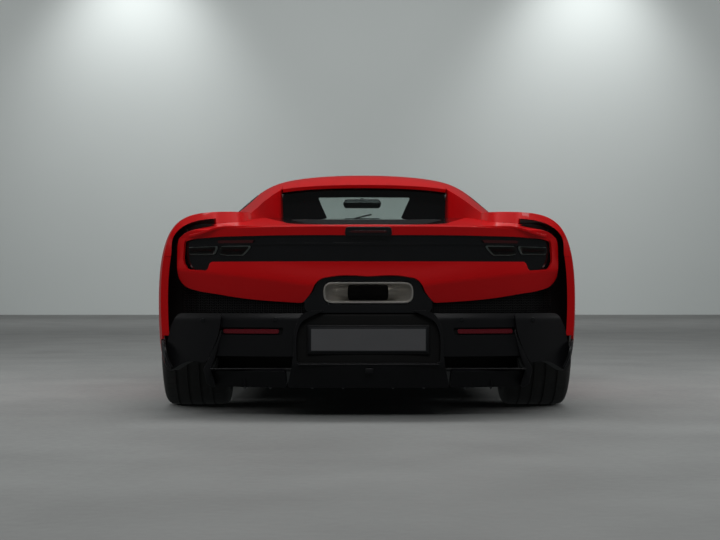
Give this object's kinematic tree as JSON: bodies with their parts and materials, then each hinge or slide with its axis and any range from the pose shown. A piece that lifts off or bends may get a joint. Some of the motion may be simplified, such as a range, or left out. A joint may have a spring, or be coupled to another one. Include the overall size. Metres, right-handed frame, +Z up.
{
  "type": "mid-engined two-seat supercar",
  "caption": "Low mid-engined two-seat coupe with flying rear haunches, glazed engine lid, opening doors and bonnet, steered front wheels.",
  "frame": {"origin": "on the floor, under the middle of the car's length and width", "axes": "+Y forward to the nose, +X to the car's right, +Z up"},
  "size_m": [2.0532, 4.565, 1.1836],
  "materials": {
    "paint": "deep gloss red",
    "gloss_black": "gloss black",
    "satin_black": "satin black, lightly grained",
    "structure": "dark coated aluminium",
    "glass": "grey-green tinted glass",
    "cover_glass": "smoked glass in a black frame",
    "lamp_clear": "clear lamp lens",
    "lamp_red": "smoked red lamp lens",
    "bright_metal": "brushed stainless steel",
    "cast_metal": "cast aluminium",
    "alloy": "dark machined alloy",
    "tyre": "matt rubber",
    "leather": "soft black leather",
    "dash": "stitched dark leather"
  },
  "bodies": {
    "body": {"chassis_tub": "structure", "side_skirts": "satin_black", "arch_liners": "satin_black", "front_bumper": "paint", "front_splitter": "satin_black", "left_front_fender": "paint", "right_front_fender": "paint", "headlamps": "lamp_clear", "windscreen": "glass", "roof": "paint", "rear_window": "glass", "left_rear_quarter": "paint", "right_rear_quarter": "paint", "tail_deck": "paint", "tail_panel": "paint", "lamp_panel": "gloss_black", "tail_lamps": "lamp_red", "rear_bumper": "satin_black", "number_plate": "gloss_black", "exhaust": "bright_metal", "engine": "cast_metal", "dashboard": "dash", "left_seat": "leather", "right_seat": "leather", "front_arms": "cast_metal", "rear_arms": "cast_metal"},
    "bonnet": {"bonnet": "paint"},
    "engine_cover": {"engine_cover": "cover_glass"},
    "left_door": {"left_door": "paint", "left_door_glass": "glass", "left_mirror": "paint"},
    "right_door": {"right_door": "paint", "right_door_glass": "glass", "right_mirror": "paint"},
    "steering_wheel": {"steering_wheel": "leather"},
    "left_knuckle": {"left_knuckle": "cast_metal"},
    "right_knuckle": {"right_knuckle": "cast_metal"},
    "front_left_wheel": {"front_left_tyre": "tyre", "front_left_rim": "alloy"},
    "front_right_wheel": {"front_right_tyre": "tyre", "front_right_rim": "alloy"},
    "rear_left_wheel": {"rear_left_tyre": "tyre", "rear_left_rim": "alloy"},
    "rear_right_wheel": {"rear_right_tyre": "tyre", "rear_right_rim": "alloy"}
  },
  "joints": [
    {"name": "bonnet_hinge", "type": "hinge", "parent": "body", "child": "bonnet", "pos_m": [0, 0.878, 0.842], "axis": [1, 0, 0], "range_deg": [0, 45]},
    {"name": "engine_cover_hinge", "type": "hinge", "parent": "body", "child": "engine_cover", "pos_m": [0, -0.765, 0.926], "axis": [-1, 0, 0], "range_deg": [0, 50]},
    {"name": "left_door_hinge", "type": "hinge", "parent": "body", "child": "left_door", "pos_m": [-0.905, 0.74, 0.495], "axis": [0, 0, -1], "range_deg": [0, 60]},
    {"name": "right_door_hinge", "type": "hinge", "parent": "body", "child": "right_door", "pos_m": [0.905, 0.74, 0.495], "axis": [0, 0, 1], "range_deg": [0, 60]},
    {"name": "left_steer", "type": "hinge", "parent": "body", "child": "left_knuckle", "pos_m": [-0.7825, 1.1775, 0.34], "axis": [0, 0, 1], "range_deg": [-32, 32]},
    {"name": "right_steer", "type": "hinge", "parent": "body", "child": "right_knuckle", "pos_m": [0.7825, 1.1775, 0.34], "axis": [0, 0, 1], "range_deg": [-32, 32]},
    {"name": "steering_wheel_turn", "type": "hinge", "parent": "body", "child": "steering_wheel", "pos_m": [-0.37, 0.33, 0.712], "axis": [0, -0.9135, 0.4067], "range_deg": [-450, 450]},
    {"name": "front_left_roll", "type": "hinge", "parent": "left_knuckle", "child": "front_left_wheel", "pos_m": [-0.8325, 1.1775, 0.34], "axis": [1, 0, 0], "continuous": true},
    {"name": "front_right_roll", "type": "hinge", "parent": "right_knuckle", "child": "front_right_wheel", "pos_m": [0.8325, 1.1775, 0.34], "axis": [1, 0, 0], "continuous": true},
    {"name": "rear_left_roll", "type": "hinge", "parent": "body", "child": "rear_left_wheel", "pos_m": [-0.801, -1.4225, 0.361], "axis": [1, 0, 0], "continuous": true},
    {"name": "rear_right_roll", "type": "hinge", "parent": "body", "child": "rear_right_wheel", "pos_m": [0.801, -1.4225, 0.361], "axis": [1, 0, 0], "continuous": true}
  ],
  "couplings": [
    {"joint": "right_steer", "follows": "left_steer", "ratio": 1},
    {"joint": "steering_wheel_turn", "follows": "left_steer", "ratio": 14}
  ]
}
